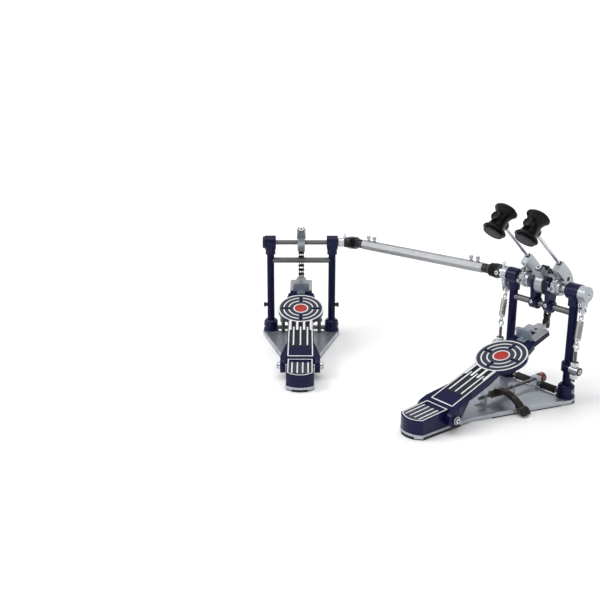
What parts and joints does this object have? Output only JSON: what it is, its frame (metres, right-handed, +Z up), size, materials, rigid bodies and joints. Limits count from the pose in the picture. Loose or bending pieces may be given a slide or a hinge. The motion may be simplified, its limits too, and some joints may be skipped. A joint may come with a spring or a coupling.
{
  "type": "double bass drum pedal",
  "caption": "Double bass drum pedal: chain-driven primary and slave footboards on post frames, joined by a drive shaft, with sprung beaters and a hoop clamp.",
  "frame": {"origin": "on the floor under the middle of the primary pedal's rear rubber strip", "axes": "+X to the drummer's right along the primary axle and the longest extent, +Y towards the drum, +Z up; the floor is -Z"},
  "size_m": [0.6857, 0.4106, 0.3653],
  "materials": {
    "navy_casting": "gloss navy paint on cast aluminium",
    "navy_post": "gloss navy paint",
    "silver_plate": "satin silver paint on pressed steel",
    "cast_aluminium": "satin cast",
    "chrome": "polished",
    "steel": "turned",
    "black_chain": "satin black",
    "black_rubber": "matte",
    "gunmetal": "dark satin",
    "red_plastic": "gloss"
  },
  "bodies": {
    "frame": {"primary_base_plate": "silver_plate", "slave_base_plate": "silver_plate", "base_pads": "black_rubber", "primary_heel_block": "navy_casting", "slave_heel_block": "navy_casting", "frame_bolts": "chrome", "primary_posts": "navy_post", "slave_posts": "navy_post", "primary_post_sockets": "navy_casting", "slave_post_sockets": "navy_casting", "primary_bearing_housings": "navy_casting", "slave_bearing_housings": "navy_casting", "axle_bearings": "steel", "cross_bars": "steel", "bar_sleeves": "black_rubber", "clamp_clip": "cast_aluminium", "center_brackets": "navy_casting", "spring_adjusters": "cast_aluminium", "spring_eyebolts": "chrome", "slave_end_plugs": "steel", "floor_spurs": "steel", "primary_boot": "black_rubber", "slave_boot": "black_rubber"},
    "primary_board": {"primary_footboard": "navy_casting", "primary_toe_plate": "silver_plate", "primary_toe_stop": "silver_plate"},
    "slave_board": {"slave_footboard": "navy_casting", "slave_toe_plate": "silver_plate", "slave_toe_stop": "silver_plate"},
    "right_axle_set": {"right_axle": "steel", "primary_cam": "cast_aluminium", "primary_chain_wrap": "black_chain", "right_beater_arm": "cast_aluminium", "right_beater_rod": "chrome", "right_beater_head": "black_rubber", "right_rocker": "cast_aluminium", "right_axle_screws": "chrome"},
    "primary_chain": {"primary_chain_run": "black_chain"},
    "right_spring_link": {"right_spring_hook": "chrome"},
    "right_spring_wire": {"right_spring": "chrome"},
    "left_axle_set": {"left_axle": "steel", "left_universal_joint": "steel", "left_beater_arm": "cast_aluminium", "left_beater_rod": "chrome", "left_beater_head": "black_rubber", "left_rocker": "cast_aluminium", "left_axle_screws": "chrome"},
    "left_spring_link": {"left_spring_hook": "chrome"},
    "left_spring_wire": {"left_spring": "chrome"},
    "slave_axle_set": {"slave_axle": "steel", "slave_cam": "cast_aluminium", "slave_chain_wrap": "black_chain", "slave_universal_joint": "steel"},
    "slave_chain": {"slave_chain_run": "black_chain"},
    "drive_shaft": {"shaft_tube": "steel", "shaft_yokes": "steel", "shaft_screws": "chrome"},
    "clamp": {"clamp_rod": "steel", "clamp_lever": "gunmetal", "clamp_knob": "red_plastic"}
  },
  "joints": [
    {"name": "right_axle_turn", "type": "hinge", "parent": "frame", "child": "right_axle_set", "pos_m": [0, 0.018, 0.21], "axis": [1, 0, 0], "range_deg": [-46, 0], "stiffness_Nm_per_rad": 0.6, "springref_deg": 34.38},
    {"name": "primary_footboard_tilt", "type": "hinge", "parent": "frame", "child": "primary_board", "pos_m": [0, -0.245, 0.0245], "axis": [1, 0, 0], "range_deg": [-4.11, 0]},
    {"name": "primary_chain_swing", "type": "hinge", "parent": "right_axle_set", "child": "primary_chain", "pos_m": [0, 0.04097, 0.21975], "axis": [1, 0, 0], "range_deg": [0, 50.82]},
    {"name": "right_spring_swing", "type": "hinge", "parent": "right_axle_set", "child": "right_spring_link", "pos_m": [0.0862, 0.018, 0.18], "axis": [1, 0, 0], "range_deg": [0, 65.44]},
    {"name": "right_spring_stretch", "type": "slide", "parent": "right_spring_link", "child": "right_spring_wire", "axis": [0, -0.128, -0.9918], "range_m": [0, 0.01013], "deforming": ["right_spring"]},
    {"name": "left_axle_turn", "type": "hinge", "parent": "frame", "child": "left_axle_set", "pos_m": [0, 0.018, 0.21], "axis": [1, 0, 0], "range_deg": [-46, 0], "stiffness_Nm_per_rad": 0.6, "springref_deg": 34.38},
    {"name": "left_spring_swing", "type": "hinge", "parent": "left_axle_set", "child": "left_spring_link", "pos_m": [-0.0862, 0.018, 0.18], "axis": [1, 0, 0], "range_deg": [0, 65.44]},
    {"name": "left_spring_stretch", "type": "slide", "parent": "left_spring_link", "child": "left_spring_wire", "axis": [0, -0.128, -0.9918], "range_m": [0, 0.01013], "deforming": ["left_spring"]},
    {"name": "drive_shaft_spin", "type": "hinge", "parent": "frame", "child": "drive_shaft", "pos_m": [-0.45629, -0.04896, 0.21], "axis": [0.9813, 0.1925, 0], "range_deg": [-46.92, 0]},
    {"name": "slave_axle_turn", "type": "hinge", "parent": "frame", "child": "slave_axle_set", "pos_m": [-0.52686, -0.13977, 0.21], "axis": [0.6136, 0.7896, 0], "range_deg": [-46.92, 0]},
    {"name": "slave_footboard_tilt", "type": "hinge", "parent": "frame", "child": "slave_board", "pos_m": [-0.31919, -0.30114, 0.0245], "axis": [0.6136, 0.7896, 0], "range_deg": [-4.11, 0]},
    {"name": "slave_chain_swing", "type": "hinge", "parent": "slave_axle_set", "child": "slave_chain", "pos_m": [-0.545, -0.12567, 0.21975], "axis": [0.6136, 0.7896, 0], "range_deg": [0, 50.82]},
    {"name": "clamp_lever_turn", "type": "hinge", "parent": "frame", "child": "clamp", "pos_m": [0, 0.018, 0.0226], "axis": [0, -1, 0], "range_deg": [0, 45]}
  ],
  "couplings": [
    {"joint": "primary_footboard_tilt", "follows": "right_axle_turn", "ratio": 0.08748},
    {"joint": "primary_chain_swing", "follows": "right_axle_turn", "ratio": -1.0832},
    {"joint": "right_spring_swing", "follows": "right_axle_turn", "ratio": -1.3947},
    {"joint": "right_spring_stretch", "follows": "right_axle_turn", "m_per_rad": -0.012369},
    {"joint": "left_spring_swing", "follows": "left_axle_turn", "ratio": -1.3947},
    {"joint": "left_spring_stretch", "follows": "left_axle_turn", "m_per_rad": -0.012369},
    {"joint": "drive_shaft_spin", "follows": "left_axle_turn", "ratio": 1},
    {"joint": "slave_axle_turn", "follows": "left_axle_turn", "ratio": 1},
    {"joint": "slave_footboard_tilt", "follows": "left_axle_turn", "ratio": 0.08748},
    {"joint": "slave_chain_swing", "follows": "left_axle_turn", "ratio": -1.0832}
  ]
}
